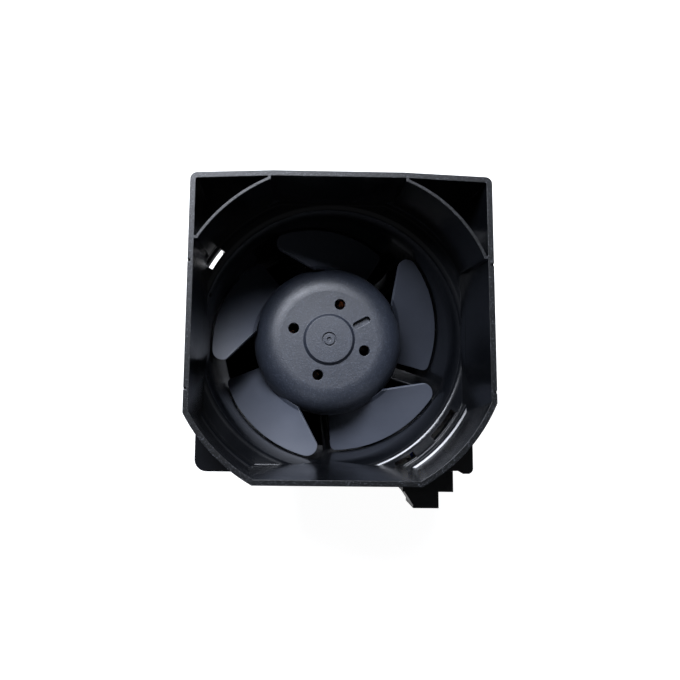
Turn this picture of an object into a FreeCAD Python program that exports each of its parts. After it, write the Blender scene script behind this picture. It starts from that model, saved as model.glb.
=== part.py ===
"""Hot-plug fan module for a rack server: a 60 mm axial fan behind an inlet shroud, with its motor and plug.

Frame: the origin is on the fan's axis at the outlet face. Air goes from -Y to +Y, +Z is up, millimetres.
Angles are measured in the XZ plane from +X towards +Z, which is anticlockwise as seen from the inlet.
"""
import FreeCAD, Part
import math
import os

Vector = FreeCAD.Vector

# ---- housing: sizes across, from the bore outwards, and stations along the axis ----
bore_radius = 28.3
left_wall = 1.1                 # from the bore to each side of the housing: the fan's axis isn't in its middle
right_wall = 2.3
bottom_wall = 1.1
top_wall = 3.4
wall = 1.1                      # plain walls of the shroud and the frame
mouth_y = -56.0                 # inlet rim
seam_y = -41.0                  # shroud meets frame
recess_floor_y = -38.0          # floor that carries the bell mouth
front_flange_rear_y = -36.0
bell_end_y = -31.5
rear_flange_front_y = -4.0
outlet_y = 0.0
corner_rise = 5.2               # lower corners of the shroud at the rim stand this far outside the bore
corner_flare = 1.2              # they open this much towards the frame
top_crown_half_width = 13.0     # flat middle of the top wall
top_corner_drop = 0.7           # the top wall falls this much to its corners
top_edge_radius = 1.3
web_rise = 4.8                  # middle of the curved webs in the upper corners, outside the bore
web_thickness = 0.6
web_foot_length = 0.5           # square foot that ends each web on the walls
right_web_drop = 1.2            # the right web meets its side wall this much lower
witness_heights = (13.3, -11.5)  # small moulding notches in the side rims
witness_width = 0.5
witness_depth = 0.35

# ---- frame ----
barrel_wall = 1.7
bell_rise = 2.3                 # the bell mouth opens this much
bell_lip_radius = 1.2           # its edge turns out to the recess floor
recess_rise = 4.6               # corners of the recess round the bell, outside the bore
recess_edge_bevel = 0.8
flange_corner_radius = 1.2
foot_corner_radius = 2.6        # lower left corner of the front flange
relief_margin = 2.2             # shallow relief under the front flange, from the right side
relief_width = 11.4
relief_depth = 0.6
rear_corner_radius = 2.6
outlet_flare = 0.35
outlet_flare_length = 2.5
screw_inset = 5.0               # from the sides of a square of the housing's width
screw_hole_radius = 2.15
window_bell_gap = 0.5           # windows in the recess floor, clear of the bell and of the recess wall
window_wall_gap = 0.4
windows = ((-44.5, -30.5), (-63.0, -54.0), (142.0, 151.0))

# ---- snap hooks that hold the shroud ----
hook_heights = (12.0, -12.0)
hook_width = 5.6
hook_thickness = 0.9
hook_barb = 0.8
hook_barb_length = 1.2
hook_clearance = 0.1

# ---- rotor ----
blade_count = 5
tip_clearance = 0.4
blade_thickness_root = 1.5
blade_thickness_tip = 0.9
blade_first_angle = 52.2        # tip end of the first blade's leading edge
blade_tip_sweep = 19.7          # the root end of the leading edge lags the tip end by this angle
blade_tip_corner_radius = 2.6
blade_lead_tip_y = -32.6
blade_lead_root_y = -29.2
blade_trail_y = -15.4
blade_wrap_tip = 66.5
blade_wrap_root = 50.0
blade_camber = 0.035            # share of the blade's depth
blade_root_bite = 0.7           # the blades start inside the hub's wall
blade_edge_share = 0.5          # thickness at both edges, as a share of the full one
hub_front_y = -30.6
hub_rear_y = -12.0
hub_wall = 1.3
hub_front_wall = 1.6
hub_edge_radius = 6.6            # rounding of the front edge
hub_boss_radius = 6.2
hub_boss_height = 0.8
hub_boss_bevel = 0.65
gate_radius = 1.7                # groove round the gate mark, and the dimple in the middle of it
gate_depth = 0.4
gate_ring_radius = 1.3
gate_dimple_radius = 0.5
hub_hole_circle_radius = 8.87
hub_hole_radius = 1.3
hub_hole_angle = 73.0
hub_slot_angle = 28.0
hub_slot_radius = 8.85
hub_slot_length = 4.5
hub_slot_width = 1.6
hub_slot_depth = 1.1

# ---- motor ----
yoke_wall = 1.0
yoke_bevel = 3.4
yoke_rear_y = -12.8
magnet_thickness = 2.2
magnet_front_y = -24.2
magnet_rear_y = -13.2
air_gap = 0.4
core_front_y = -23.5
core_rear_y = -15.5
tooth_count = 6
tooth_width = 3.0
tooth_tip_thickness = 1.3
tooth_tip_gap = 1.6             # open slot between neighbouring tooth tips
core_ring_width = 2.4
insulator_thickness = 1.0
coil_build = 1.5                # height of the winding over the insulator
coil_clearance = 0.1
coil_ring_gap = 0.7             # from the core's ring to the windings
coil_length = 3.08              # along the tooth
insulator_inset = 0.4           # the insulators' tooth tips stand back from the core's
pin_radius = 0.35
pin_inset = 0.6                 # from the windings' inner end
shaft_radius = 1.5
shaft_end_y = -5.4
bush_radius = 3.0
bush_rear_y = -25.7
tube_outer_radius = 5.0
tube_inner_radius = 4.0         # also the bearings' outer radius
tube_front_y = -25.2
tube_rear_y = -4.0
tube_shoulder_radius = 3.45
bearing_width = 4.0
front_bearing_y = -22.9         # mid planes of the two bearings
rear_bearing_y = -9.0
inner_ring_radius = 2.2
shield_clearance = 0.05         # between the inner ring and the shields
washer_thickness = 0.2
washer_radius = 2.3
clip_radius = 2.7
clip_thickness = 0.4
clip_groove_radius = 1.15
clip_gap = 0.05

# ---- outlet stator: guide vanes and motor base ----
vane_count = 11
trough_angle = -50.0            # this vane is the wire trough
vane_thickness = 1.0
vane_front_y = -10.8
vane_rear_y = -0.8
vane_bow_radius = 17.2
base_step = 0.3                 # the base is this much smaller than the hub
base_front_y = -11.0
base_rear_y = -0.8
base_floor = 1.7
base_wall = 1.4
base_tube_wall = 1.4
base_tube_front_y = -14.4
base_rear_hole_radius = 3.6
base_edge_radius = 1.0
trough_wall = 0.8
trough_clearance = 0.2          # beside the outermost leads
trough_front_y = -11.0

# ---- circuit board ----
board_front_y = -9.6
board_thickness = 1.0
board_edge_gap = 0.8            # inside the base's wall
board_clearance = 0.2
board_post_radius = 1.2
board_post_inset = 2.6
board_post_angles = (45, 165, 285)
driver_spot = (11.2, 100)       # radius and angle of each package on the board
driver_size = 5.0
driver_height = 0.9
switch_radius = 11.4
switch_angles = (145, 225, 255)
switch_size = 3.3
switch_height = 1.0
capacitor_spot = (11.3, 20)
capacitor_radius = 2.4
capacitor_height = 4.6
sensor_gap = 0.05               # behind the core's windings, beside the magnet's edge
sensor_spot = (13.9, 60)
sensor_size = (1.5, 2.9)
sensor_height = 1.1

# ---- leads, connector and its holder ----
lead_names = ("blue", "yellow", "black", "red")
lead_diameter = 1.0
lead_pitch = 1.25
lead_y = -5.6                   # height of the leads in the trough
lead_solder_radius = 12.2
lead_corner_gap = 2.0           # outside the barrel, where the leads turn forwards
lead_slot_end = 1.2             # the frame's slot for the leads runs on past that corner
contact_pitch_x = 2.7
contact_pitch_y = 3.4
contact_margin_x = 1.55         # from the plug's right side and from its front to the first contact
contact_margin_y = 2.3
contact_order = ((0, 0), (0, 1), (1, 1), (1, 0))   # contact column and row of each lead
plug_right_margin = 5.55        # from the housing's right side
plug_width = 5.85
plug_front_y = -33.4
plug_depth = 8.0
plug_drop = 1.0                 # its top lies this far below the housing
plug_height = 8.0
plug_taper = 1.9                # the plug widens to the left by this much
plug_taper_start = 0.7          # above its lower end
plug_taper_height = 2.9
socket_depth = 4.5
socket_half = 1.0
contact_half = 0.32
contact_setback = 0.6
block_right_margin = 2.4        # the block that carries the plug, from the housing's right side
block_rim = 0.6                 # beside the plug
block_front_rim = 0.8
block_rear_rim = 3.0
block_drop = 5.2                # below the housing
lead_way_inset = 1.0            # the opening above the plug, from its front and rear
lead_way_left = -0.2            # from its left and right sides
lead_way_right = 0.6
holder_cheek_height = 20.4
holder_width = 22.6
holder_clearance = 0.05
holder_post = 2.6               # square post in the holder's corner
holder_peg_inset = 0.3
holder_peg_radius = 0.8
holder_peg_length = 1.5
holder_peg_clearance = 0.05

# ---- places that follow from the sizes above ----
housing_left = -(bore_radius + left_wall)
housing_right = bore_radius + right_wall
housing_bottom = -(bore_radius + bottom_wall)
housing_top = bore_radius + top_wall
corner_outer_radius = bore_radius + corner_rise
web_radius = bore_radius + web_rise
barrel_outer_radius = bore_radius + barrel_wall
bell_mouth_radius = bore_radius + bell_rise
recess_radius = bore_radius + recess_rise
relief_x = (housing_right - relief_margin - relief_width, housing_right - relief_margin)
window_inner_radius = bell_mouth_radius + window_bell_gap
window_outer_radius = recess_radius - window_wall_gap
screw_reach = (housing_right - housing_left) / 2 - screw_inset
blade_tip_radius = bore_radius - tip_clearance
winding_half = tooth_width / 2 + coil_clearance      # half the windings' hole, across the tooth
coil_inner_radius = tube_outer_radius + core_ring_width + coil_ring_gap
coil_outer_radius = coil_inner_radius + coil_length
tip_inner_radius = math.hypot(coil_outer_radius + coil_clearance, winding_half + coil_build)
core_radius = tip_inner_radius + insulator_inset + tooth_tip_thickness
magnet_inner = core_radius + air_gap
magnet_outer = magnet_inner + magnet_thickness
yoke_radius = magnet_outer + yoke_wall
yoke_front_y = hub_front_y + hub_front_wall
hub_radius = yoke_radius + hub_wall
blade_first_ring = hub_radius - blade_root_bite
base_radius = hub_radius - base_step
board_radius = base_radius - base_wall - board_edge_gap
trough_width = lead_pitch * (len(lead_names) - 1) + lead_diameter + 2 * (trough_clearance + trough_wall)
board_rear_y = board_front_y + board_thickness
lead_corner_radius = barrel_outer_radius + lead_corner_gap
plug_x = (housing_right - plug_right_margin - plug_width, housing_right - plug_right_margin)
plug_y = (plug_front_y, plug_front_y + plug_depth)
plug_top_z = housing_bottom - plug_drop
plug_bottom_z = plug_top_z - plug_height
contact_x = (plug_x[1] - contact_margin_x - contact_pitch_x, plug_x[1] - contact_margin_x)
contact_y = (plug_front_y + contact_margin_y, plug_front_y + contact_margin_y + contact_pitch_y)
block_x = (plug_x[0] - plug_taper - block_rim, housing_right - block_right_margin)
block_y = (plug_y[0] - block_front_rim, plug_y[1] + block_rear_rim)
block_bottom_z = housing_bottom - block_drop

lead_bend_radii = []            # filled as the leads are made, and printed at the end

FAN_AXIS = Vector(0, -1, 0)     # out of the inlet, so a positive turn is the running direction


# ---- small helpers ----
def block(x, y, z):
    """A box between the pairs of limits x, y and z."""
    low = Vector(min(x), min(y), min(z))
    return Part.makeBox(max(x) - low.x, max(y) - low.y, max(z) - low.z, low)


def rod(radius, y0, y1, x=0.0, z=0.0):
    """A cylinder along Y."""
    return Part.makeCylinder(radius, y1 - y0, Vector(x, y0, z), Vector(0, 1, 0))


def ring(inner, outer, y0, y1):
    """A plain ring about the fan's axis."""
    return rod(outer, y0, y1).cut(rod(inner, y0 - 1, y1 + 1))


def polar(radius, angle, y=0.0):
    """The point at a radius and an angle in degrees about the fan's axis."""
    a = math.radians(angle)
    return Vector(radius * math.cos(a), y, radius * math.sin(a))


def turned(shape, angle):
    """A copy of shape turned about the fan's axis, anticlockwise as seen from the inlet."""
    copy = shape.copy()
    copy.rotate(Vector(0, 0, 0), FAN_AXIS, angle)
    return copy


def fuse(shapes):
    """All the shapes as one, without the seams between coplanar faces."""
    return shapes[0].multiFuse(shapes[1:]).removeSplitter()


def chord(radius, distance):
    """Half the chord of a circle at a distance from its centre."""
    return math.sqrt(radius**2 - distance**2)


def prism(edges, y0, y1):
    """Extrudes a closed outline drawn at y = 0 from y0 to y1."""
    face = Part.Face(Part.Wire(Part.__sortEdges__(edges)))
    face.translate(Vector(0, y0, 0))
    return face.extrude(Vector(0, y1 - y0, 0))


def polygon(points):
    """Straight edges round a list of (x, z) corners."""
    corners = [Vector(x, 0, z) for x, z in points]
    return [Part.LineSegment(a, b).toShape() for a, b in zip(corners, corners[1:] + corners[:1])]


def revolved(points):
    """A solid of revolution about the fan's axis from a closed list of (radius, y) corners."""
    corners = [Vector(r, y, 0) for r, y in points]
    wire = Part.makePolygon(corners + corners[:1])
    return Part.Face(wire).revolve(Vector(0, 0, 0), Vector(0, 1, 0), 360)


def sector(inner, outer, start, end, y0, y1):
    """A part of a ring between two angles."""
    arcs = [
        Part.Arc(polar(r, start), polar(r, (start + end) / 2), polar(r, end)).toShape() for r in (inner, outer)
    ]
    sides = [Part.LineSegment(polar(inner, a), polar(outer, a)).toShape() for a in (start, end)]
    return prism(arcs + sides, y0, y1)


def lengthwise_edges(shape, x, z):
    """The edges along Y that pass nearest to a point of the XZ plane."""
    def off(edge):
        ends = [v.Point for v in edge.Vertexes]
        if len(ends) < 2 or abs(ends[0].y - ends[1].y) < 0.5 * edge.Length:
            return 1e9
        return math.hypot(ends[0].x - x, ends[0].z - z)
    nearest = min(off(e) for e in shape.Edges)
    return [e for e in shape.Edges if off(e) < nearest + 0.01]


# ---- housing ----
def mouth_wire(inset, radius, y):
    """The shroud's outline: crowned top, straight sides, lower corners round the fan's axis."""
    left = housing_left + inset
    right = housing_right - inset
    bottom = housing_bottom + inset
    top = housing_top - inset
    corner = top - top_corner_drop
    edge = max(top_edge_radius - inset, 0.3)
    low = chord(radius, bottom)
    low_left = Vector(left, y, -chord(radius, left))
    low_right = Vector(right, y, -chord(radius, right))
    middle = radius / math.sqrt(2)
    slope = top_corner_drop / (right - top_crown_half_width)
    left_top = Vector(left + edge, y, corner + slope * edge)
    right_top = Vector(right - edge, y, corner + slope * edge)
    left_crown = Vector(-top_crown_half_width, y, top)
    right_crown = Vector(top_crown_half_width, y, top)
    bend = 0.29 * edge
    return Part.Wire([
        Part.LineSegment(Vector(-low, y, bottom), Vector(low, y, bottom)).toShape(),
        Part.Arc(Vector(low, y, bottom), Vector(middle, y, -middle), low_right).toShape(),
        Part.LineSegment(low_right, Vector(right, y, corner - edge)).toShape(),
        Part.Arc(Vector(right, y, corner - edge), Vector(right - bend, y, corner - bend), right_top).toShape(),
        Part.LineSegment(right_top, right_crown).toShape(),
        Part.LineSegment(right_crown, left_crown).toShape(),
        Part.LineSegment(left_crown, left_top).toShape(),
        Part.Arc(left_top, Vector(left + bend, y, corner - bend), Vector(left, y, corner - edge)).toShape(),
        Part.LineSegment(Vector(left, y, corner - edge), low_left).toShape(),
        Part.Arc(low_left, Vector(-middle, y, -middle), Vector(-low, y, bottom)).toShape(),
    ])


def mouth_solid(inset):
    """The shroud's outline set inwards, from the rim to the seam, with flaring lower corners."""
    radius = corner_outer_radius - inset
    wires = [mouth_wire(inset, radius, mouth_y), mouth_wire(inset, radius + corner_flare, seam_y)]
    return Part.makeLoft(wires, True, True)


def corner_web(side_x, drop):
    """One curved web across an upper corner, with a square foot on each wall, the side one lower by drop."""
    half = web_thickness / 2
    top = housing_top - wall
    foot_x = abs(side_x) - web_foot_length
    foot_z = top - web_foot_length
    side_end = Vector(foot_x, 0, chord(web_radius, foot_x) - drop)
    top_end = Vector(chord(web_radius, foot_z), 0, foot_z)
    curve = Part.Arc(side_end, polar(web_radius, 45), top_end).toShape().Curve
    centre = Vector(curve.Center.x, 0, curve.Center.z)
    angles = [math.degrees(math.atan2(end.z - centre.z, end.x - centre.x)) for end in (side_end, top_end)]
    arc = sector(curve.Radius - half, curve.Radius + half, *angles, mouth_y, seam_y).translated(centre)
    reach = wall / 2
    side_foot = block(
        (side_end.x - half, abs(side_x) + reach), (mouth_y, seam_y), (side_end.z - half, side_end.z + half)
    )
    top_foot = block(
        (top_end.x - half, top_end.x + half), (mouth_y, seam_y), (top_end.z - half, top + reach)
    )
    web = fuse([arc, side_foot, top_foot])
    return web if side_x > 0 else web.mirror(Vector(0, 0, 0), Vector(1, 0, 0))


def hook(side, height):
    """One snap hook: a tongue behind the side wall, with a barb behind the front flange."""
    outer = housing_right if side > 0 else housing_left
    inner = outer - side * hook_thickness
    barb = inner - side * hook_barb
    barb_y = front_flange_rear_y + hook_clearance / 2
    end_y = barb_y + hook_barb_length
    z = (height - hook_width / 2, height + hook_width / 2)
    tongue = block((outer, inner), (seam_y - 1.0, end_y), z)
    root = Vector(inner, barb_y, z[0])
    nose = Part.makePolygon([root, Vector(barb, barb_y, z[0]), Vector(inner, end_y, z[0]), root])
    return [tongue, Part.Face(nose).extrude(Vector(0, 0, hook_width))]


def hook_space(side, height):
    """The room that one snap hook takes behind the front flange."""
    outer = housing_right if side > 0 else housing_left
    reach = hook_thickness + hook_barb + hook_clearance
    half = hook_width / 2 + hook_clearance
    y = (front_flange_rear_y - 1, front_flange_rear_y + 1.5 * hook_clearance + hook_barb_length)
    return block((outer + side, outer - side * reach), y, (height - half, height + half))


def inlet_shroud():
    shell = mouth_solid(0.0).cut(mouth_solid(wall))
    pieces = [shell, corner_web(housing_left + wall, 0.0), corner_web(housing_right - wall, right_web_drop)]
    for side in (-1, 1):
        for height in hook_heights:
            pieces += hook(side, height)
    shroud = fuse(pieces)
    for face, side in ((housing_left, -1), (housing_right, 1)):
        for height in witness_heights:
            shroud = shroud.cut(block(
                (face + side, face - side * 0.45 * wall),
                (mouth_y - 1, mouth_y + witness_depth),
                (height - witness_width / 2, height + witness_width / 2),
            ))
    return shroud


def duct_prism(radius, y0, y1):
    """The duct in front of the bell mouth: the shroud's flat inner walls with round corners about the axis."""
    inner = block(
        (housing_left + wall, housing_right - wall), (y0, y1), (housing_bottom + wall, housing_top - wall)
    )
    return inner.common(rod(radius, y0, y1))


def flange(y0, y1, radii):
    """A square flange, with its corner radii given from the lower left anticlockwise."""
    plate = block((housing_left, housing_right), (y0, y1), (housing_bottom, housing_top))
    corners = (
        (housing_left, housing_bottom), (housing_right, housing_bottom),
        (housing_right, housing_top), (housing_left, housing_top),
    )
    for (x, z), radius in zip(corners, radii):
        plate = plate.makeFillet(radius, lengthwise_edges(plate, x, z))
    return plate


def arc_between(centre, radius, start, end):
    """An arc in the plane z = 0 between two angles from +X towards +Y."""
    spots = [math.radians(a) for a in (start, (start + end) / 2, end)]
    points = [centre + Vector(math.cos(a), math.sin(a), 0) * radius for a in spots]
    return Part.Arc(*points).toShape()


def bell_mouth():
    """The space of the bell: a long arc out of the bore, then a tight one onto the recess floor."""
    axial = bell_end_y - recess_floor_y
    reach = axial - bell_lip_radius
    long_radius = (bell_rise**2 + reach**2 - bell_lip_radius**2) / (2 * (bell_rise - bell_lip_radius))
    long_centre = Vector(bore_radius + long_radius, bell_end_y, 0)
    lip_centre = Vector(bell_mouth_radius, recess_floor_y + bell_lip_radius, 0)
    join = 180 + math.degrees(math.atan2(reach, long_radius - bell_rise))
    arcs = [
        arc_between(long_centre, long_radius, 180, join),
        arc_between(lip_centre, bell_lip_radius, join, 270),
    ]
    corners = [
        Vector(bore_radius, bell_end_y, 0), Vector(0, bell_end_y, 0),
        Vector(0, recess_floor_y, 0), Vector(bell_mouth_radius, recess_floor_y, 0),
    ]
    lines = [Part.LineSegment(a, b).toShape() for a, b in zip(corners, corners[1:])]
    face = Part.Face(Part.Wire(Part.__sortEdges__(arcs + lines)))
    bell = face.revolve(Vector(0, 0, 0), Vector(0, 1, 0), 360)
    return bell.common(duct_prism(bell_mouth_radius + bell_rise, recess_floor_y, bell_end_y))


def recess():
    """The recess round the bell mouth, with an eased front edge in the corners."""
    ease = recess_edge_bevel
    end_y = seam_y + 1.1 * ease
    flare = revolved([
        (0, seam_y), (recess_radius + ease, seam_y), (recess_radius + 0.4 * ease, seam_y + 0.3 * ease),
        (recess_radius + 0.1 * ease, seam_y + 0.7 * ease), (recess_radius, end_y), (0, end_y),
    ])
    flare = flare.common(duct_prism(recess_radius + 2 * ease, seam_y - 1, recess_floor_y))
    return fuse([duct_prism(recess_radius, seam_y, recess_floor_y), flare])


def holder_peg(face_y, length, extra):
    """A peg that locates the connector holder in a flange, or with extra radius its hole."""
    x = housing_right - holder_post / 2 - holder_peg_inset
    z = housing_bottom + holder_post / 2 + holder_peg_inset
    reach = -length if face_y < (seam_y + outlet_y) / 2 else length
    return rod(holder_peg_radius + extra, min(face_y, face_y + reach), max(face_y, face_y + reach), x, z)


def fan_frame():
    small = flange_corner_radius
    front = flange(seam_y, front_flange_rear_y, (foot_corner_radius, small, small, small))
    front = front.cut(block(
        relief_x, (seam_y - 1, front_flange_rear_y + 1), (housing_bottom - 1, housing_bottom + relief_depth)
    ))
    rear = flange(rear_flange_front_y, outlet_y, (rear_corner_radius,) * 4)
    flats = block(
        (housing_left, housing_right), (front_flange_rear_y, rear_flange_front_y), (housing_bottom, housing_top)
    )
    barrel = rod(barrel_outer_radius, front_flange_rear_y, rear_flange_front_y).common(flats)
    frame = fuse([front, barrel, rear])
    frame = frame.cut(recess())
    frame = frame.cut(bell_mouth())
    flare_y = outlet_y - outlet_flare_length
    frame = frame.cut(revolved([
        (0, bell_end_y), (bore_radius, bell_end_y), (bore_radius, flare_y),
        (bore_radius + outlet_flare, outlet_y), (0, outlet_y),
    ]))
    for start, end in windows:
        y = (recess_floor_y - 0.5, front_flange_rear_y + 0.5)
        frame = frame.cut(sector(window_inner_radius, window_outer_radius, start, end, *y))
    for face, side in ((housing_left, -1), (housing_right, 1)):
        for height in hook_heights:
            reach = hook_thickness + hook_clearance
            half = hook_width / 2 + hook_clearance
            frame = frame.cut(block(
                (face + side, face - side * reach),
                (seam_y - 1, front_flange_rear_y + 1),
                (height - half, height + half),
            ))
            frame = frame.cut(hook_space(side, height))
    for x in (-screw_reach, screw_reach):
        for z in (-screw_reach, screw_reach):
            frame = frame.cut(rod(screw_hole_radius, rear_flange_front_y - 1, outlet_y + 1, x, z))
    for y in (front_flange_rear_y, rear_flange_front_y):
        frame = frame.cut(holder_peg(y, holder_peg_length + 0.3, holder_peg_clearance))
    return frame.cut(trough_space(bore_radius - 1.0, lead_corner_radius + lead_slot_end, outlet_y + 1))


# ---- outlet stator ----
def trough_space(inner, outer, y1):
    """The clear space of the wire trough between two radii, open towards the outlet."""
    half = trough_width / 2 - trough_wall
    space = block((inner, outer), (trough_front_y + trough_wall, y1), (-half, half))
    return turned(space, trough_angle)


def guide_vane():
    """A curved vane along +X: it takes the swirl out of the air and ends straight along the axis."""
    length = vane_rear_y - vane_front_y
    arcs = []
    for offset in (-vane_thickness / 2, vane_thickness / 2):
        radius = vane_bow_radius + offset
        ends = []
        for share in (0.0, 0.5, 1.0):
            angle = share * math.asin(length / vane_bow_radius)
            along = vane_rear_y - radius * math.sin(angle)
            ends.append(Vector(base_radius - 1.0, along, radius * math.cos(angle) - vane_bow_radius))
        arcs.append(ends)
    lead = (arcs[0][2] + arcs[1][2]) / 2
    nose = Part.Arc(arcs[0][2], lead + (lead - arcs[0][1]).normalize() * vane_thickness / 2, arcs[1][2])
    edges = [Part.Arc(*ends).toShape() for ends in arcs]
    edges.append(nose.toShape())
    edges.append(Part.LineSegment(arcs[0][0], arcs[1][0]).toShape())
    face = Part.Face(Part.Wire(Part.__sortEdges__(edges)))
    vane = face.extrude(Vector(bore_radius + 2 - base_radius, 0, 0))
    return vane.common(ring(base_radius - base_wall / 2, bore_radius, vane_front_y - 1, vane_rear_y + 1))


def wire_trough():
    """The vane that carries the leads: a channel open towards the outlet."""
    half = trough_width / 2
    body = block((base_radius - 1.0, bore_radius + 1), (trough_front_y, vane_rear_y), (-half, half))
    trough = turned(body, trough_angle).common(
        ring(base_radius - 0.6, bore_radius, trough_front_y - 1, vane_rear_y + 1)
    )
    return trough.cut(trough_space(base_radius - 2, bore_radius + 2, outlet_y))


def outlet_stator():
    floor_y = base_rear_y - base_floor
    tube_outer = tube_outer_radius + base_tube_wall
    base = revolved([
        (base_rear_hole_radius, base_rear_y), (base_radius - base_edge_radius, base_rear_y),
        (base_radius, base_rear_y - base_edge_radius), (base_radius, base_front_y),
        (base_radius - base_wall, base_front_y), (base_radius - base_wall, floor_y),
        (tube_outer, floor_y), (tube_outer, base_tube_front_y),
        (tube_outer_radius, base_tube_front_y), (tube_outer_radius, tube_rear_y),
        (base_rear_hole_radius, tube_rear_y),
    ])
    pieces = [base, wire_trough()]
    vane = guide_vane()
    pitch = 360.0 / vane_count
    pieces += [turned(vane, trough_angle + pitch * i) for i in range(1, vane_count)]
    post_circle = board_radius - board_post_inset
    for angle in board_post_angles:
        spot = polar(post_circle, angle)
        pieces.append(rod(board_post_radius, board_rear_y, floor_y + 0.2, spot.x, spot.z))
    stator = fuse(pieces)
    return stator.cut(trough_space(base_radius - base_wall - 1.0, bore_radius, floor_y))


# ---- rotor ----
def leading_angle(radius):
    """The angle at which the leading edge, a straight line as seen along the axis, crosses a radius."""
    root = polar(hub_radius, blade_first_angle - blade_tip_sweep)
    line = polar(blade_tip_radius, blade_first_angle) - root
    a, b, c = line.dot(line), 2 * root.dot(line), root.dot(root) - radius**2
    spot = root + line * ((math.sqrt(b**2 - 4 * a * c) - b) / (2 * a))
    return math.degrees(math.atan2(spot.z, spot.x))


def blade_point(radius, share, side):
    """A point on a blade: share runs from the leading to the trailing edge, side is -1 (front) or 1 (rear)."""
    out = (radius - hub_radius) / (blade_tip_radius - hub_radius)
    gain = blade_wrap_tip - blade_wrap_root - blade_tip_sweep
    trail = blade_first_angle - blade_wrap_tip + gain * (1 - out)
    start = leading_angle(radius)
    lead_y = blade_lead_root_y + (blade_lead_tip_y - blade_lead_root_y) * out
    depth = blade_trail_y - lead_y
    y = lead_y + depth * (share - blade_camber * math.sin(math.pi * share))
    lean = math.atan(depth / math.radians((start - trail) * radius))
    full = blade_thickness_root + (blade_thickness_tip - blade_thickness_root) * out
    bulge = blade_edge_share + (1 - blade_edge_share) * math.sin(math.pi * share)
    offset = side * full * bulge / 2
    angle = start + (trail - start) * share + math.degrees(offset * math.sin(lean) / radius)
    return polar(radius, angle, y + offset * math.cos(lean))


def blade_sheet(side):
    """The front or rear face of a blade, ruled from its root to its tip."""
    curves = []
    for radius in (blade_first_ring, blade_tip_radius + 0.6):
        curve = Part.BSplineCurve()
        curve.interpolate([blade_point(radius, share, side) for share in (0.0, 0.25, 0.5, 0.75, 1.0)])
        curves.append(curve.toShape())
    return Part.makeRuledSurface(*curves)


def blade_plan():
    """The blade's outline seen along the axis, which rounds the two corners of its tip."""
    lead = blade_first_angle
    root = polar(hub_radius, lead - blade_tip_sweep)
    line = polar(blade_tip_radius, lead) - root
    ahead = Vector(-line.z, 0, line.x).normalize() * 0.2
    low = root - line + ahead
    high = root + line * 2 + ahead
    end = lead - blade_wrap_tip
    reach = blade_tip_radius * 1.3
    points = [low, high, polar(reach, lead - 5), polar(reach * 1.2, lead - blade_wrap_tip / 2)]
    points += [polar(reach, end - 0.5), polar(blade_first_ring * 0.8, end - 0.5)]
    depth = (blade_lead_tip_y - 2 * blade_thickness_root, blade_trail_y + 2 * blade_thickness_root)
    area = prism(polygon([(p.x, p.z) for p in points]), *depth)
    plan = area.common(rod(blade_tip_radius, *depth))
    corner = polar(blade_tip_radius, lead)
    plan = plan.makeFillet(blade_tip_corner_radius, lengthwise_edges(plan, corner.x, corner.z))
    corner = polar(blade_tip_radius, end - 0.5)
    return plan.makeFillet(blade_tip_corner_radius / 2, lengthwise_edges(plan, corner.x, corner.z))


def blade():
    front = blade_sheet(-1)
    rear = blade_sheet(1)
    rims = [Part.makeRuledSurface(a, b) for a, b in zip(front.Edges, rear.Edges)]
    shell = Part.Shell([front, rear] + rims)
    shell.sewShape()
    body = Part.Solid(shell)
    if body.Volume < 0:
        body.reverse()
    return body.common(blade_plan())


def round_cup(radius, y0, y1, edge):
    """A cylinder with a rounded front edge."""
    outline = [Vector(radius, y0 + edge, 0), Vector(radius, y1, 0), Vector(0, y1, 0), Vector(0, y0, 0)]
    outline.append(Vector(radius - edge, y0, 0))
    edges = [Part.LineSegment(a, b).toShape() for a, b in zip(outline, outline[1:])]
    edges.append(arc_between(Vector(radius - edge, y0 + edge, 0), edge, 270, 360))
    return Part.Face(Part.Wire(Part.__sortEdges__(edges))).revolve(Vector(0, 0, 0), Vector(0, 1, 0), 360)


def chamfered_cup(radius, y0, y1, bevel):
    """A cylinder whose front edge is bevelled."""
    return revolved([(0, y0), (radius - bevel, y0), (radius, y0 + bevel), (radius, y1), (0, y1)])


def hub():
    """The hub's moulding: a deep cup with a well-rounded front edge."""
    front_inside = hub_front_y + hub_front_wall
    body = round_cup(hub_radius, hub_front_y, hub_rear_y, hub_edge_radius)
    face_y = hub_front_y - hub_boss_height
    boss = revolved([
        (0, hub_front_y + 0.5), (hub_boss_radius, hub_front_y + 0.5), (hub_boss_radius, hub_front_y),
        (hub_boss_radius - hub_boss_bevel, face_y), (0, face_y),
    ])
    body = fuse([body, boss])
    body = body.cut(ring(gate_ring_radius, gate_radius, face_y - 1, face_y + gate_depth))
    body = body.cut(rod(gate_dimple_radius, face_y - 1, face_y + gate_depth))
    body = body.cut(chamfered_cup(hub_radius - hub_wall, front_inside, hub_rear_y + 1, yoke_bevel))
    for i in range(4):
        spot = polar(hub_hole_circle_radius, hub_hole_angle + 90 * i)
        body = body.cut(rod(hub_hole_radius, hub_front_y - 1, front_inside + 1, spot.x, spot.z))
    half = hub_slot_width / 2
    reach = hub_slot_length / 2 - half
    floor = hub_front_y + hub_slot_depth
    slot = block((hub_slot_radius - reach, hub_slot_radius + reach), (hub_front_y - 1, floor), (-half, half))
    ends = [rod(half, hub_front_y - 1, floor, hub_slot_radius + s * reach) for s in (-1, 1)]
    return body.cut(turned(fuse([slot] + ends), hub_slot_angle))


def impeller():
    one = blade()
    pitch = 360.0 / blade_count
    return fuse([hub()] + [turned(one, -pitch * i) for i in range(blade_count)])


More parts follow.
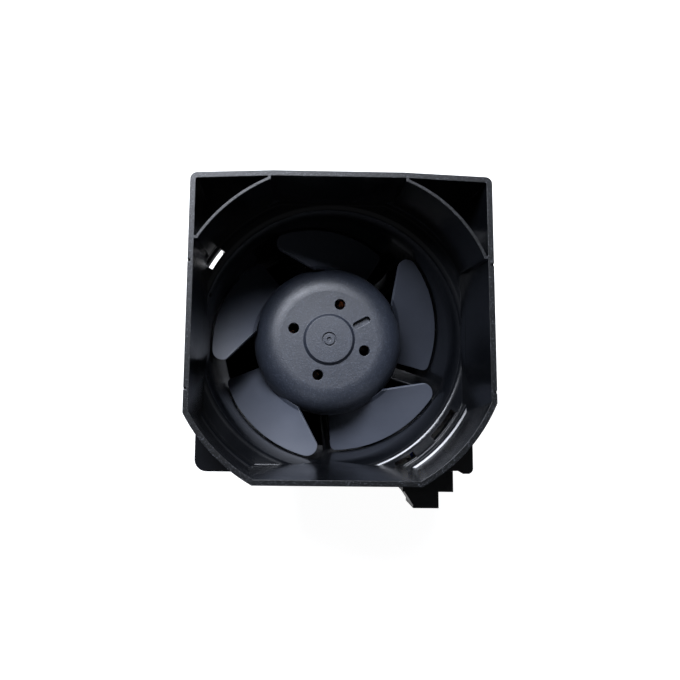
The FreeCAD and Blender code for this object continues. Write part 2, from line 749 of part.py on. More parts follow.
def rotor_yoke():
    outer = chamfered_cup(yoke_radius, yoke_front_y, yoke_rear_y, yoke_bevel)
    bevel = yoke_bevel - yoke_wall / 2
    inner = chamfered_cup(yoke_radius - yoke_wall, yoke_front_y + yoke_wall, yoke_rear_y + 1, bevel)
    yoke = outer.cut(inner).cut(rod(bush_radius, yoke_front_y - 1, yoke_front_y + 2))
    for i in range(4):
        spot = polar(hub_hole_circle_radius, hub_hole_angle + 90 * i)
        yoke = yoke.cut(rod(hub_hole_radius, yoke_front_y - 1, yoke_front_y + yoke_wall + 1, spot.x, spot.z))
    return yoke


def shaft():
    groove_y = rear_bearing_y + bearing_width / 2 + clip_gap
    body = rod(shaft_radius, yoke_front_y, shaft_end_y)
    return body.cut(ring(clip_groove_radius, shaft_radius + 1, groove_y, groove_y + clip_thickness))


def retaining_clip():
    groove_y = rear_bearing_y + bearing_width / 2 + clip_gap
    clip = ring(clip_groove_radius, clip_radius, groove_y, groove_y + clip_thickness)
    half = 0.85 * clip_groove_radius
    mouth = block((0, clip_radius + 1), (groove_y - 1, groove_y + 1), (-half, half))
    return clip.cut(turned(mouth, 40))


def preload_washer():
    """A bowed spring washer between the bush and the front bearing."""
    front = bush_rear_y
    rear = front_bearing_y - bearing_width / 2
    bow = rear - front
    radius = (washer_radius**2 + (bow - washer_thickness)**2) / (2 * (bow - washer_thickness))
    centre = Vector(0, front + radius, -washer_radius - 1)
    length = 2 * washer_radius + 2
    shell = Part.makeCylinder(radius, length, centre, Vector(0, 0, 1)).cut(
        Part.makeCylinder(radius - washer_thickness, length, centre, Vector(0, 0, 1))
    )
    return shell.common(ring(shaft_radius + 0.05, washer_radius, front, rear))


# ---- bearings ----
def bearing_rings(middle_y):
    """Inner ring and outer ring of a sealed ball bearing: the outer one holds the shields that hide the balls."""
    y0 = middle_y - bearing_width / 2
    y1 = middle_y + bearing_width / 2
    inner = ring(shaft_radius, inner_ring_radius, y0, y1)
    return inner, ring(inner_ring_radius + shield_clearance, tube_inner_radius, y0, y1)


def bearing_tube():
    half = bearing_width / 2
    return revolved([
        (tube_outer_radius, tube_front_y), (tube_outer_radius, tube_rear_y), (tube_inner_radius, tube_rear_y),
        (tube_inner_radius, rear_bearing_y - half), (tube_shoulder_radius, rear_bearing_y - half),
        (tube_shoulder_radius, front_bearing_y + half), (tube_inner_radius, front_bearing_y + half),
        (tube_inner_radius, tube_front_y),
    ])


# ---- stator of the motor ----
def core_outline(y0, y1, shrink=0.0):
    """The laminations: a ring on the bearing tube and teeth with wide tips."""
    pieces = [ring(tube_outer_radius, tube_outer_radius + core_ring_width, y0, y1)]
    outer = core_radius - shrink
    pitch = 360.0 / tooth_count
    half_tip = pitch / 2 - math.degrees(tooth_tip_gap / 2 / outer)
    for i in range(tooth_count):
        tip = sector(outer - tooth_tip_thickness, outer, -half_tip, half_tip, y0, y1)
        stem = block((tube_outer_radius + 1, outer - 0.5), (y0, y1), (-tooth_width / 2, tooth_width / 2))
        pieces += [turned(tip, pitch * i), turned(stem, pitch * i)]
    return fuse(pieces)


def coils():
    """One winding round each tooth."""
    half_y = (core_rear_y - core_front_y) / 2 + insulator_thickness + coil_clearance
    middle = (core_rear_y + core_front_y) / 2
    half_z = winding_half
    radial = (coil_inner_radius, coil_outer_radius)
    across = (-half_z - coil_build, half_z + coil_build)
    outer = block(radial, (middle - half_y - coil_build, middle + half_y + coil_build), across)
    corners = [e for e in outer.Edges if abs(e.Vertexes[0].X - e.Vertexes[1].X) > coil_length / 2]
    outer = outer.makeChamfer(coil_build * 0.5, corners)
    winding = outer.cut(block((0, core_radius), (middle - half_y, middle + half_y), (-half_z, half_z)))
    return Part.makeCompound([turned(winding, 360.0 * i / tooth_count) for i in range(tooth_count)])


def pin_spots():
    """The winding pins stand between the teeth, on every second gap."""
    return [polar(coil_inner_radius - pin_inset, 30 + 120 * i) for i in range(3)]


def winding_pins():
    """Three pins that carry the windings' ends to the board."""
    start_y = core_rear_y + insulator_thickness
    return Part.makeCompound([rod(pin_radius, start_y, board_rear_y + 0.3, p.x, p.z) for p in pin_spots()])


def circuit_board():
    hole = tube_outer_radius + base_tube_wall + board_clearance
    board = ring(hole, board_radius, board_front_y, board_rear_y)
    for spot in pin_spots():
        board = board.cut(rod(pin_radius, board_front_y - 1, board_rear_y + 1, spot.x, spot.z))
    return board


def chip(radius, angle, size_radial, size_across, y0, y1):
    """A flat electronic package on the board."""
    radial = (radius - size_radial / 2, radius + size_radial / 2)
    return turned(block(radial, (y0, y1), (-size_across / 2, size_across / 2)), angle)


def board_parts():
    """Packages on the board, by name."""
    rear = board_rear_y
    driver = chip(*driver_spot, driver_size, driver_size, rear, rear + driver_height)
    top = rear + switch_height
    switches = [chip(switch_radius, angle, switch_size, switch_size, rear, top) for angle in switch_angles]
    can_spot = polar(*capacitor_spot)
    can = rod(capacitor_radius, rear, rear + capacitor_height, can_spot.x, can_spot.z)
    sensor = chip(*sensor_spot, *sensor_size, board_front_y - sensor_height, board_front_y)
    return {
        "driver_chip": driver,
        "power_switches": Part.makeCompound(switches),
        "board_capacitor": can,
        "hall_sensor": sensor,
    }


# ---- leads and connector ----
def tube_along(points, diameter):
    """A six-sided lead along straight runs joined by tangent arcs, each as large as its two runs allow."""
    edges = []
    start = points[0]
    for before, corner, after in zip(points, points[1:], points[2:]):
        into = (before - corner)
        out = (after - corner)
        turn = math.pi - into.getAngle(out)
        tangent = 0.45 * min(into.Length, out.Length)
        into.normalize()
        out.normalize()
        a = corner + into * tangent
        b = corner + out * tangent
        radius = tangent / math.tan(turn / 2)
        to_centre = (into + out).normalize()
        middle = corner + to_centre * (radius / math.cos(turn / 2) - radius)
        edges.append(Part.LineSegment(start, a).toShape())
        edges.append(Part.Arc(a, middle, b).toShape())
        lead_bend_radii.append(radius)
        start = b
    edges.append(Part.LineSegment(start, points[-1]).toShape())
    path = Part.Wire(edges)
    along = (points[1] - points[0]).normalize()
    across = along.cross(Vector(0.6, 0.3, 0.74)).normalize()
    corner = across * (diameter / 2)
    ring_of_points = []
    for i in range(7):
        spoke = FreeCAD.Rotation(along, 60 * i).multVec(corner)
        ring_of_points.append(points[0] + spoke)
    profile = Part.makePolygon(ring_of_points)
    return path.makePipeShell([profile], True, True)


def lead(index):
    """One lead: from the board, along the trough, forwards in the corner and down into the plug."""
    across = lead_pitch * (index - (len(lead_names) - 1) / 2)
    out = polar(1.0, trough_angle)
    side = polar(1.0, trough_angle + 90)
    column, row = contact_order[index]
    x = contact_x[column]
    y = contact_y[row]
    solder = out * lead_solder_radius + side * across
    corner = out * lead_corner_radius + side * across
    points = [
        Vector(solder.x, board_rear_y, solder.z),
        Vector(solder.x, lead_y, solder.z),
        Vector(corner.x, lead_y, corner.z),
        Vector(corner.x, y, corner.z),
        Vector(x, y, plug_top_z),
    ]
    return tube_along(points, lead_diameter)


def plug_body():
    """The plug: a block with one sloping side and a socket for each contact on its underside."""
    x0, x1 = plug_x
    taper_z = plug_bottom_z + plug_taper_start
    body = prism(polygon([
        (x0 - plug_taper, plug_top_z), (x1, plug_top_z), (x1, plug_bottom_z), (x0, plug_bottom_z),
        (x0, taper_z), (x0 - plug_taper, taper_z + plug_taper_height),
    ]), *plug_y)
    for x in contact_x:
        for y in contact_y:
            body = body.cut(block(
                (x - socket_half, x + socket_half), (y - socket_half, y + socket_half),
                (plug_bottom_z - 1, plug_bottom_z + socket_depth),
            ))
    return body


def plug_contacts():
    """One contact in each socket, held in the plug's roof."""
    half = contact_half
    return Part.makeCompound([
        block(
            (x - half, x + half), (y - half, y + half),
            (plug_bottom_z + contact_setback, plug_bottom_z + socket_depth),
        ) for x in contact_x for y in contact_y
    ])


def connector_holder():
    """The cover of the lower right corner, with the block below it that carries the plug."""
    y = (front_flange_rear_y, rear_flange_front_y)
    cheek_top = housing_bottom + holder_cheek_height
    cheek = block((housing_right - wall, housing_right), y, (housing_bottom, cheek_top))
    sole = block((housing_right - holder_width, housing_right), y, (housing_bottom, housing_bottom + wall))
    post = block(
        (housing_right - holder_post, housing_right), y, (housing_bottom, housing_bottom + holder_post)
    )
    body = block(block_x, block_y, (block_bottom_z, housing_bottom + wall))
    holder = fuse([cheek, sole, post, body])
    holder = holder.makeFillet(flange_corner_radius, lengthwise_edges(holder, housing_right, housing_bottom))
    holder = holder.cut(rod(barrel_outer_radius + holder_clearance, y[0] - 1, y[1] + 1))
    holder = holder.cut(hook_space(1, hook_heights[1]))
    plug_space = block(
        (plug_x[0] - plug_taper - holder_clearance, plug_x[1] + holder_clearance),
        (plug_y[0] - holder_clearance, plug_y[1] + holder_clearance),
        (block_bottom_z - 1, plug_top_z),
    )
    holder = holder.cut(plug_space)
    lead_way = block(
        (plug_x[0] + lead_way_left, plug_x[1] - lead_way_right),
        (plug_y[0] + lead_way_inset, plug_y[1] - lead_way_inset),
        (plug_top_z - 1, 0),
    )
    holder = holder.cut(lead_way)
    return fuse([holder] + [holder_peg(face, holder_peg_length, 0.0) for face in y])


def main():
    os.makedirs("parts", exist_ok=True)
    front_inner, front_outer = bearing_rings(front_bearing_y)
    rear_inner, rear_outer = bearing_rings(rear_bearing_y)
    parts = {
        "inlet_shroud": inlet_shroud(),
        "fan_frame": fan_frame(),
        "outlet_stator": outlet_stator(),
        "bearing_tube": bearing_tube(),
        "front_bearing_outer_ring": front_outer,
        "rear_bearing_outer_ring": rear_outer,
        "stator_core": core_outline(core_front_y, core_rear_y),
        "front_insulator": core_outline(core_front_y - insulator_thickness, core_front_y, 0.4),
        "rear_insulator": core_outline(core_rear_y, core_rear_y + insulator_thickness, 0.4),
        "stator_coils": coils(),
        "winding_pins": winding_pins(),
        "circuit_board": circuit_board(),
        "impeller": impeller(),
        "rotor_yoke": rotor_yoke(),
        "ring_magnet": ring(magnet_inner, magnet_outer, magnet_front_y, magnet_rear_y),
        "hub_bush": ring(shaft_radius, bush_radius, yoke_front_y, bush_rear_y),
        "shaft": shaft(),
        "front_bearing_inner_ring": front_inner,
        "rear_bearing_inner_ring": rear_inner,
        "preload_washer": preload_washer(),
        "retaining_clip": retaining_clip(),
        "connector_holder": connector_holder(),
        "connector_plug": plug_body(),
        "connector_contacts": plug_contacts(),
    }
    parts.update(board_parts())
    for index, name in enumerate(lead_names):
        parts["lead_" + name] = lead(index)
    for name, shape in parts.items():
        shape.exportStep("parts/" + name + ".step")
        state = "" if shape.isValid() else "NOT VALID"
        print(name, len(shape.Solids), "solids", round(shape.Volume, 1), "mm3", state)
    print("lead bend radii", sorted({round(r, 2) for r in lead_bend_radii}))


main()
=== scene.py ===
"""The looks of a 60 mm server fan module: its plastics, metals and leads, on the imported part.

Metres. +Y is the airflow, from the inlet's rim to the outlet face, and +Z is up.
"""

import math

import bmesh
import bpy
from mathutils import Matrix, Vector


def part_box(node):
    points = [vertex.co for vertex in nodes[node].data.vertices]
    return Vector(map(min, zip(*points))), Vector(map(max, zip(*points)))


MM = 0.001

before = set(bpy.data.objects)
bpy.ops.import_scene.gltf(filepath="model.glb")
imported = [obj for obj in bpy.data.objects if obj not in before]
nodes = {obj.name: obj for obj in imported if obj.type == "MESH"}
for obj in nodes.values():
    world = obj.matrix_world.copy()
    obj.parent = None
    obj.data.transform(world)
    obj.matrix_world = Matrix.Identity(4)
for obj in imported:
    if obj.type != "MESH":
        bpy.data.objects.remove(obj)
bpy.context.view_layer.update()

# a node's box is its low and its high corner
RIM_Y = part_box("inlet_shroud")[0].y
OUTLET_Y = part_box("fan_frame")[1].y
HUB_FACE_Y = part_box("impeller")[0].y


# ---- camera ----
CAMERA_PLACE = Vector((-8.8, -160.5, -9.2)) * MM
CAMERA_PITCH = -0.1029           # radians, and below 0 the view tips up
CAMERA_TURN = -0.0148            # then it turns, to the right below 0
CAMERA_ROLL = 0.0138             # and last it rolls, with its right side up
CAMERA_SHIFT = (0.058, -0.0273)
CAMERA_CLIP = (0.005, 20)        # nearest and farthest that it sees
SENSOR = 36.0                    # millimetres, as Blender takes it
FOCAL_WIDTHS = 0.8008            # focal length as a share of the sensor's width


def make_camera():
    """The camera in front of the inlet, a little left of and below the fan's axis."""
    turn = (
        Matrix.Rotation(CAMERA_ROLL, 3, "Z")
        @ Matrix.Rotation(CAMERA_TURN, 3, "Y")
        @ Matrix.Rotation(CAMERA_PITCH, 3, "X")
    )
    level = Matrix(((1, 0, 0), (0, 0, -1), (0, 1, 0)))
    right, down, ahead = turn @ level
    facing = Matrix((right, -down, -ahead)).transposed().to_4x4()
    data = bpy.data.cameras.new("camera")
    data.sensor_width = SENSOR
    data.lens = FOCAL_WIDTHS * SENSOR
    data.shift_x, data.shift_y = CAMERA_SHIFT
    data.clip_start, data.clip_end = CAMERA_CLIP
    camera = bpy.data.objects.new("camera", data)
    camera.matrix_world = Matrix.Translation(CAMERA_PLACE) @ facing
    bpy.context.scene.collection.objects.link(camera)
    bpy.context.scene.camera = camera


# ---- materials ----
RIM_FADE = (RIM_Y + 0.02 * MM, RIM_Y + 0.12 * MM)      # the rim's coarse finish ends between these
HUB_EDGE = 18.4 * MM             # the impeller has the hub's darker colour inside this radius: painted shade against the lamp on its face
HUB_FADE = 0.1 * MM              # and the blades' lighter colour from this far outside it: painted light against their shade
OUTWARD_FADE = (0.15, 0.4)       # how squarely a wall faces out, where its coarse finish begins and is full
NOISE_SPAN = {"From_Min": 0.3, "From_Max": 0.7}        # most of a noise's values lie in here
SHEET = 0.5 * MM                 # thickness of the motor's steel sheets
SHEET_JOINT = 0.06 * MM          # half the dark line between two of them
WIRE = 0.3 * MM                  # thickness of the winding wire

# bare metals: darker and lighter colour, roughness, and how tightly their marks lie along X, Y and Z
METALS = {
    "ground_bearing_steel": ("#b4b7bc", "#cfd2d6", 0.22, (1, 8, 1)),     # bright, with fine rings
    "zinc_plated_steel": ("#a6a8ad", "#c6c8cb", 0.35, (1, 6, 1)),        # bluish grey, with faint rings
    "turned_brass": ("#b58d4a", "#cfa964", 0.28, (1, 10, 1)),            # yellow, with close rings
    "turned_brass_tube": ("#ad8a52", "#c8a56a", 0.32, (1, 10, 1)),       # a little greyer and duller
    "tin_plate": ("#c6c6c1", "#dededa", 0.3, (1, 1, 4)),                 # a pale, warm silver
    "tinned_pins": ("#bfbfba", "#dadad5", 0.3, (1, 4, 1)),               # the same, a little darker
    "drawn_aluminium": ("#b1b3b6", "#cecfd2", 0.3, (1, 1, 6)),           # pale grey, with faint lines
}
# matt black plastics: darker and lighter colour, and roughness
BLACKS = {
    "glass_filled_pbt_black_matt": ("#070808", "#0e0f10", 0.6),          # near black, and dull
    "nylon_black": ("#070708", "#101112", 0.5),                          # near black, with some sheen
    "nylon_black_winding_frame": ("#0e0f10", "#1a1b1d", 0.45),           # a shade lighter and glossier
    "epoxy_black": ("#161719", "#242528", 0.6),                          # charcoal, and dull
}
# the leads' insulation: darker and lighter colour
LEADS = {
    "blue": ("#1b4a9f", "#2b63c2"),
    "yellow": ("#d3ab1b", "#e9ca4a"),
    "black": ("#121214", "#222327"),
    "red": ("#a01919", "#c2302d"),
}


def colour(code):
    """Linear RGBA from an sRGB hex code."""
    parts = [int(code[i:i + 2], 16) / 255 for i in (1, 3, 5)]
    return [c / 12.92 if c <= 0.04045 else ((c + 0.055) / 1.055) ** 2.4 for c in parts] + [1.0]


def per(size):
    """The scale at which a pattern repeats about once in this many millimetres."""
    return 1.0 / (size * MM)


def node(tree, kind, output=0, settings=None, **inputs):
    """Adds a node with its settings, its inputs as values or links, and gives one of its outputs.

    An input goes by its socket's name, with _ for a space, or by i and the socket's number.
    """
    new = tree.nodes.new("ShaderNode" + kind)
    for key, value in (settings or {}).items():
        setattr(new, key, value)
    for key, value in inputs.items():
        socket = new.inputs[int(key[1:])] if key[1:].isdigit() else new.inputs[key.replace("_", " ")]
        if isinstance(value, bpy.types.NodeSocket):
            tree.links.new(value, socket)
        else:
            socket.default_value = value
    return new.outputs[output]


def start(name, **levels):
    """A new material with its shader's own levels, and the node tree and Object coordinates to build on."""
    material = bpy.data.materials.new(name)
    material.use_nodes = True
    tree = material.node_tree
    for key, value in levels.items():
        tree.nodes["Principled BSDF"].inputs[key.replace("_", " ")].default_value = value
    return material, tree, node(tree, "TexCoord", "Object")


def wear(tree, **links):
    """Links patterns to the shader's sockets."""
    for key, value in links.items():
        tree.links.new(value, tree.nodes["Principled BSDF"].inputs[key.replace("_", " ")])


def from_axis(tree, place):
    """The way from the fan's axis to a place, square to the axis."""
    return node(tree, "VectorMath", 0, {"operation": "MULTIPLY"}, i0=place, i1=(1, 0, 1))


def axis_distance(tree, place):
    """Distance from the fan's axis, in metres."""
    return node(tree, "VectorMath", "Value", {"operation": "LENGTH"}, i0=from_axis(tree, place))


def facing_out(tree, place):
    """1 where the surface faces away from the fan's axis, 0 where it faces the axis or along it."""
    away = node(tree, "VectorMath", 0, {"operation": "NORMALIZE"}, i0=from_axis(tree, place))
    normal = node(tree, "NewGeometry", "True Normal")
    share = node(tree, "VectorMath", "Value", {"operation": "DOT_PRODUCT"}, i0=normal, i1=away)
    return node(tree, "MapRange", Value=share, From_Min=OUTWARD_FADE[0], From_Max=OUTWARD_FADE[1])


def moulded_housing():
    """Glass-filled PBT from a mould that is polished inside and spark-eroded outside.

    The eye gets a deep black with soft gloss in the duct, and on the rim and the outer walls a dry charcoal
    with fine light points in its colour, where the glass comes to the surface: partly the glass's own
    lighter tone, partly a painted glint. The pits and points are drawn coarser than real ones, so that they
    show.
    """
    material, tree, place = start("glass_filled_pbt_black", IOR=1.55)
    y = node(tree, "SeparateXYZ", "Y", Vector=place)
    rim = node(tree, "MapRange", Value=y, From_Min=RIM_FADE[0], From_Max=RIM_FADE[1], To_Min=1, To_Max=0)
    coarse = node(tree, "Math", 0, {"operation": "MAXIMUM"}, i0=rim, i1=facing_out(tree, place))
    cloud = node(tree, "TexNoise", "Fac", Vector=place, Scale=per(9.0), Detail=3)
    pits = node(tree, "TexNoise", "Fac", Vector=place, Scale=per(0.42), Detail=4, Roughness=0.65)
    glass = node(tree, "TexNoise", "Fac", Vector=place, Scale=per(0.22), Detail=3, Roughness=0.7)
    # light grey points in the colour: partly the glass's own lighter tone, partly a painted glint
    glass_points_and_glints = node(tree, "MapRange", Value=glass, From_Min=0.57, From_Max=0.74)
    smooth = node(tree, "MixRGB", Fac=cloud, Color1=colour("#060709"), Color2=colour("#0b0d11"))
    dry = node(tree, "MixRGB", Fac=glass_points_and_glints, Color1=colour("#090a0b"), Color2=colour("#5e6167"))
    gloss = node(tree, "MapRange", Value=cloud, **NOISE_SPAN, To_Min=0.18, To_Max=0.26)
    waves = node(tree, "TexNoise", "Fac", Vector=place, Scale=per(6.0), Detail=1)
    edges = node(tree, "Bevel", 0, {"samples": 8}, Radius=0.2 * MM)
    flow = node(tree, "Bump", Height=waves, Distance=0.01 * MM, Strength=0.5, Normal=edges)
    wear(
        tree,
        Base_Color=node(tree, "MixRGB", Fac=coarse, Color1=smooth, Color2=dry),
        Roughness=node(tree, "Mix", i0=coarse, i2=gloss, i3=0.42),
        Specular_IOR_Level=node(tree, "MapRange", Value=coarse, To_Min=0.45, To_Max=0.3),
        Normal=node(tree, "Bump", Height=pits, Distance=0.06 * MM, Strength=coarse, Normal=flow),
    )
    return material


def moulded_impeller():
    """Slate PBT with glass fibre, from a finely eroded mould: satin, with a fine glitter, most on the hub.

    The glitter is light points in the colour: partly the fibres' own lighter tone, partly a painted glint,
    drawn coarser than real fibres give it, so that it shows. The hub is coloured darker than the blades of
    the same
    moulding: painted shade against the strong lamp on its face, and the blades lighter, painted light
    against their shade deep in the duct.
    """
    material, tree, place = start("glass_filled_pbt_slate", IOR=1.55, Specular_IOR_Level=0.7)
    radius = axis_distance(tree, place)
    blade = node(tree, "MapRange", Value=radius, From_Min=HUB_EDGE, From_Max=HUB_EDGE + HUB_FADE)
    cloud = node(tree, "TexNoise", "Fac", Vector=place, Scale=per(7.0), Detail=3)
    fibre = node(tree, "TexNoise", "Fac", Vector=place, Scale=per(0.35), Detail=3, Roughness=0.7)
    # painted light and shade: the hub darker and the blades lighter than the one moulding is, set against
    # the strong lamp on the hub's face and the shade deeper in the duct
    hub = node(tree, "MixRGB", Fac=cloud, Color1=colour("#1c2029"), Color2=colour("#232832"))
    blades_painted_lighter = node(tree, "MixRGB", Fac=cloud, Color1=colour("#3e424b"), Color2=colour("#494d57"))
    base = node(tree, "MixRGB", Fac=blade, Color1=hub, Color2=blades_painted_lighter)
    shown = node(tree, "MapRange", Value=blade, To_Min=1.0, To_Max=0.35)
    # light points in the colour: partly the fibres' own lighter tone, partly a painted glint
    glitter = node(tree, "MapRange", Value=fibre, From_Min=0.52, From_Max=0.75)
    points = node(tree, "Math", 0, {"operation": "MULTIPLY"}, i0=glitter, i1=shown)
    patches = node(tree, "TexNoise", "Fac", Vector=place, Scale=per(1.5), Detail=2)
    edges = node(tree, "Bevel", 0, {"samples": 6}, Radius=0.15 * MM)
    wear(
        tree,
        Base_Color=node(tree, "MixRGB", Fac=points, Color1=base, Color2=colour("#3e4450")),
        Roughness=node(tree, "MapRange", Value=patches, **NOISE_SPAN, To_Min=0.42, To_Max=0.5),
        Normal=node(tree, "Bump", Height=fibre, Distance=0.05 * MM, Strength=shown, Normal=edges),
    )
    return material


def moulded_black(name):
    """Black plastic with a fine matt texture, as nylon and moulding epoxy have: even, with a dull sheen.

    Its grit is drawn coarser than it is, so that it shows.
    """
    dark, light, roughness = BLACKS[name]
    low, high = roughness - 0.08, roughness + 0.1
    material, tree, place = start(name, IOR=1.53)
    cloud = node(tree, "TexNoise", "Fac", Vector=place, Scale=per(3.0), Detail=3)
    patches = node(tree, "TexNoise", "Fac", Vector=place, Scale=per(0.8), Detail=2)
    grit = node(tree, "TexNoise", "Fac", Vector=place, Scale=per(0.25), Detail=2)
    edges = node(tree, "Bevel", 0, {"samples": 6}, Radius=0.1 * MM)
    wear(
        tree,
        Base_Color=node(tree, "MixRGB", Fac=cloud, Color1=colour(dark), Color2=colour(light)),
        Roughness=node(tree, "MapRange", Value=patches, **NOISE_SPAN, To_Min=low, To_Max=high),
        Normal=node(tree, "Bump", Height=grit, Distance=0.02 * MM, Strength=0.4, Normal=edges),
    )
    return material


def metal(name):
    """A bare metal with fine working marks, drawn coarser than they are, so that they show."""
    dark, light, roughness, tightness = METALS[name]
    low, high = roughness - 0.06, roughness + 0.1
    material, tree, place = start(name, Metallic=1.0)
    along = node(tree, "Mapping", Vector=place, Scale=tightness)
    marks = node(tree, "TexNoise", "Fac", Vector=along, Scale=per(0.12), Detail=3, Roughness=0.6)
    cloud = node(tree, "TexNoise", "Fac", Vector=place, Scale=per(2.5), Detail=3)
    wear(
        tree,
        Base_Color=node(tree, "MixRGB", Fac=cloud, Color1=colour(dark), Color2=colour(light)),
        Roughness=node(tree, "MapRange", Value=marks, **NOISE_SPAN, To_Min=low, To_Max=high),
        Normal=node(tree, "Bump", Height=marks, Distance=0.004 * MM, Strength=0.5),
    )
    return material


def laminations():
    """Electrical steel in sheets, stacked along the shaft: grey bands with fine dark joints between them.

    The joints are drawn wider than they are, so that they show.
    """
    material, tree, place = start("electrical_steel", Metallic=1.0, Roughness=0.42)
    y = node(tree, "SeparateXYZ", "Y", Vector=place)
    sheet = node(tree, "Math", 0, {"operation": "PINGPONG"}, i0=y, i1=SHEET / 2)
    flat = node(tree, "MapRange", Value=sheet, From_Min=0.0, From_Max=SHEET_JOINT)
    wear(
        tree,
        Base_Color=node(tree, "MixRGB", Fac=flat, Color1=colour("#3c3d42"), Color2=colour("#85878e")),
        Normal=node(tree, "Bump", Height=flat, Distance=0.03 * MM, Strength=0.6),
    )
    return material


def windings():
    """Enamelled copper wire, wound round each tooth and dipped in varnish: glossy dark brown ridges."""
    material, tree, place = start(
        "enamelled_copper", Metallic=1.0, Roughness=0.3, Coat_Weight=0.6, Coat_Roughness=0.15
    )
    turn = node(tree, "Math", 0, {"operation": "PINGPONG"}, i0=axis_distance(tree, place), i1=WIRE / 2)
    crown = node(tree, "MapRange", Value=turn, From_Min=0.0, From_Max=WIRE / 2)
    wear(
        tree,
        # painted shade: darker in the grooves between the turns and lighter on their crowns
        Base_Color=node(tree, "MixRGB", Fac=crown, Color1=colour("#1c0d07"), Color2=colour("#5a2f17")),
        Normal=node(tree, "Bump", Height=crown, Distance=0.1 * MM, Strength=0.8),
    )
    return material


def board():
    """Glass-epoxy laminate under green solder resist: glossy green, with faintly raised copper tracks."""
    material, tree, place = start("solder_resist_green", IOR=1.52, Roughness=0.3, Coat_Weight=0.4)
    to_edge = {"feature": "DISTANCE_TO_EDGE"}
    cells = node(tree, "TexVoronoi", "Distance", to_edge, Vector=place, Scale=per(2.6))
    track = node(tree, "MapRange", Value=cells, From_Min=0.08, From_Max=0.14, To_Min=1.0, To_Max=0.0)
    wear(
        tree,
        Base_Color=node(tree, "MixRGB", Fac=track, Color1=colour("#17502e"), Color2=colour("#2c7a4a")),
        Normal=node(tree, "Bump", Height=track, Distance=0.03 * MM, Strength=0.6),
    )
    return material


def magnet():
    """Plastic-bonded ferrite: dull dark grey with its powder's pores, drawn coarse enough to show."""
    material, tree, place = start("bonded_ferrite", Roughness=0.6)
    powder = node(tree, "TexNoise", "Fac", Vector=place, Scale=per(0.4), Detail=3)
    wear(
        tree,
        Base_Color=node(tree, "MixRGB", Fac=powder, Color1=colour("#26272c"), Color2=colour("#4a4c53")),
        Normal=node(tree, "Bump", Height=powder, Distance=0.03 * MM, Strength=0.5),
    )
    return material


def insulation(name, dark, light):
    """PVC wire insulation: smooth, slightly waxy, and wavy from the extruder."""
    material, tree, place = start(name, IOR=1.54, Roughness=0.4)
    cloud = node(tree, "TexNoise", "Fac", Vector=place, Scale=per(1.2), Detail=2)
    flow = node(tree, "TexNoise", "Fac", Vector=place, Scale=per(0.5), Detail=2)
    wear(
        tree,
        Base_Color=node(tree, "MixRGB", Fac=cloud, Color1=colour(dark), Color2=colour(light)),
        Normal=node(tree, "Bump", Height=flow, Distance=0.01 * MM, Strength=0.3),
    )
    return material


# ---- the finish of each node ----
def dress(finish, *names):
    """Gives CAD nodes their finish."""
    for name in names:
        slots = nodes[name].data.materials
        slots.clear()
        slots.append(finish)


def dress_nodes():
    """Every CAD node gets its finish."""
    dress(moulded_housing(), "inlet_shroud", "fan_frame", "outlet_stator")
    dress(moulded_impeller(), "impeller")
    dress(moulded_black("glass_filled_pbt_black_matt"), "connector_holder")
    dress(moulded_black("nylon_black"), "connector_plug")
    dress(moulded_black("nylon_black_winding_frame"), "front_insulator", "rear_insulator")
    dress(moulded_black("epoxy_black"), "driver_chip", "power_switches", "hall_sensor")
    dress(laminations(), "stator_core")
    dress(windings(), "stator_coils")
    dress(magnet(), "ring_magnet")
    dress(board(), "circuit_board")
    dress(metal("zinc_plated_steel"), "rotor_yoke")
    dress(metal("turned_brass"), "hub_bush")
    dress(metal("turned_brass_tube"), "bearing_tube")
    dress(metal("tin_plate"), "connector_contacts")
    dress(metal("tinned_pins"), "winding_pins")
    dress(metal("drawn_aluminium"), "board_capacitor")
    ground = metal("ground_bearing_steel")
    dress(ground, "shaft", "preload_washer", "retaining_clip")
    for end in ("front", "rear"):
        dress(ground, end + "_bearing_inner_ring", end + "_bearing_outer_ring")
    for name, (dark, light) in LEADS.items():
        dress(insulation("pvc_" + name, dark, light), "lead_" + name)


# ---- stage ----
WHITE = "#ffffff"
LAMP_COLOUR = "#eef3ff"
ROOM_COLOUR = "#eef2fa"
ROOM_LEVEL = 0.08                # strength of the room's even light
TABLE_GLOW = 0.96                # the table's own share of white
TABLE_GAP = 0.3 * MM             # from the outlet face to the table
TABLE_HALF = 1.2                 # half its side
DUCT_EDGE = 29.3 * MM            # inside this radius the table is painted black and has no glow: painted shade for the dark of the fan's duct
DUCT_FADE = 0.2 * MM             # and it has its full white from this far outside it

# each lamp's place, its width and height, all in millimetres, and its power in watts
LAMPS = {
    "key": ((-114, -393, 266), (280, 200), 5.5),       # before the inlet, high and somewhat to the left
    "rear": ((150, 420, 260), (400, 400), 4.0),        # behind the table, for the outlet side
}


def background_rays(tree):
    """1 for the rays that show the background: from the camera, in gloss, and through clear parts."""
    camera = node(tree, "LightPath", "Is Camera Ray")
    gloss = node(tree, "LightPath", "Is Glossy Ray")
    clear = node(tree, "LightPath", "Is Transmission Ray")
    either = node(tree, "Math", 0, {"operation": "MAXIMUM"}, i0=camera, i1=gloss)
    return node(tree, "Math", 0, {"operation": "MAXIMUM"}, i0=either, i1=clear)


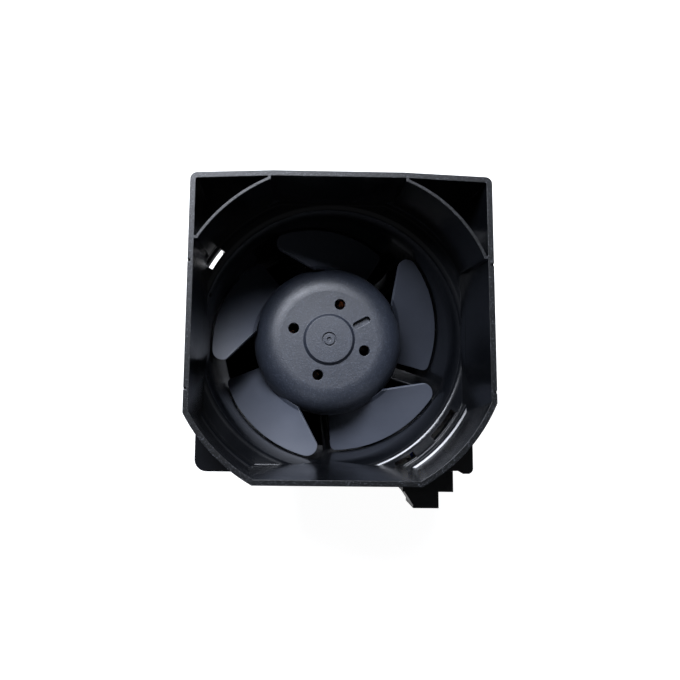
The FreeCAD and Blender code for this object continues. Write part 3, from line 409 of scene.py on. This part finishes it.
def table_paint():
    """Matt white, by a glow of its own on grey paint.

    The glow makes it white to the camera, in gloss and through clear parts. The grey paint adds only a
    little light, and with it the fan's shadow. Under the duct the paint is black and the glow is off:
    painted shade for the dark inside the fan. The table is clear from behind and to the lamps' light, so
    that the rear lamp reaches the outlet.
    """
    material, tree, place = start("painted_white", Roughness=0.9, Specular_IOR_Level=0.0)
    radius = axis_distance(tree, place)
    outside = node(tree, "MapRange", Value=radius, From_Min=DUCT_EDGE, From_Max=DUCT_EDGE + DUCT_FADE)
    # black paint under the duct is painted shade
    paint = node(tree, "MixRGB", Fac=outside, Color1=colour("#060606"), Color2=colour("#9a9a9a"))
    wear(tree, Base_Color=paint)
    seen = node(tree, "Math", 0, {"operation": "MULTIPLY"}, i0=outside, i1=background_rays(tree))
    level = node(tree, "Math", 0, {"operation": "MULTIPLY"}, i0=seen, i1=TABLE_GLOW)
    glow = node(tree, "Emission", Color=colour(WHITE), Strength=level)
    lit = node(tree, "AddShader", i0=tree.nodes["Principled BSDF"].outputs[0], i1=glow)
    back = node(tree, "NewGeometry", "Backfacing")
    shadow = node(tree, "LightPath", "Is Shadow Ray")
    clear = node(tree, "Math", 0, {"operation": "MAXIMUM"}, i0=back, i1=shadow)
    both = node(tree, "MixShader", i0=clear, i1=lit, i2=node(tree, "BsdfTransparent"))
    tree.links.new(both, tree.nodes["Material Output"].inputs["Surface"])
    return material


def make_floor():
    """The white table that the fan lies on, just under its outlet face. It faces the inlet."""
    bm = bmesh.new()
    bmesh.ops.create_grid(bm, x_segments=1, y_segments=1, size=TABLE_HALF)
    bmesh.ops.rotate(bm, verts=bm.verts, matrix=Matrix.Rotation(math.radians(90), 3, "X"))
    bmesh.ops.translate(bm, verts=bm.verts, vec=(0, OUTLET_Y + TABLE_GAP, 0))
    mesh = bpy.data.meshes.new("floor")
    bm.to_mesh(mesh)
    bm.free()
    mesh.materials.append(table_paint())
    floor = bpy.data.objects.new("floor", mesh)
    bpy.context.scene.collection.objects.link(floor)


def make_world():
    """White behind the object, and a dim even room for its light.

    In gloss and through clear parts, only what lies beyond the table is white.
    """
    world = bpy.data.worlds.new("studio")
    world.use_nodes = True
    bpy.context.scene.world = world
    tree = world.node_tree
    along = node(tree, "SeparateXYZ", "Y", Vector=node(tree, "TexCoord", "Generated"))
    beyond = node(tree, "Math", 0, {"operation": "GREATER_THAN"}, i0=along, i1=0.0)
    camera = node(tree, "LightPath", "Is Camera Ray")
    shown = node(tree, "Math", 0, {"operation": "MAXIMUM"}, i0=camera, i1=beyond)
    seen = node(tree, "Math", 0, {"operation": "MULTIPLY"}, i0=shown, i1=background_rays(tree))
    room = node(tree, "Background", Color=colour(ROOM_COLOUR), Strength=ROOM_LEVEL)
    white = node(tree, "Background", Color=colour(WHITE), Strength=1.0)
    both = node(tree, "MixShader", i0=seen, i1=room, i2=white)
    tree.links.new(both, tree.nodes["World Output"].inputs["Surface"])


def make_lamps():
    """The softboxes, each aimed at the hub's face."""
    for name, (place, (width, height), power) in LAMPS.items():
        data = bpy.data.lights.new(name, "AREA")
        data.shape = "RECTANGLE"
        data.size = width * MM
        data.size_y = height * MM
        data.energy = power
        data.color = colour(LAMP_COLOUR)[:3]
        lamp = bpy.data.objects.new(name, data)
        lamp.location = Vector(place) * MM
        aim = Vector((0, HUB_FACE_Y, 0)) - lamp.location
        lamp.rotation_euler = aim.to_track_quat("-Z", "Y").to_euler()
        bpy.context.scene.collection.objects.link(lamp)


make_camera()
dress_nodes()
make_floor()
make_world()
make_lamps()
bpy.context.scene.view_settings.view_transform = "Standard"
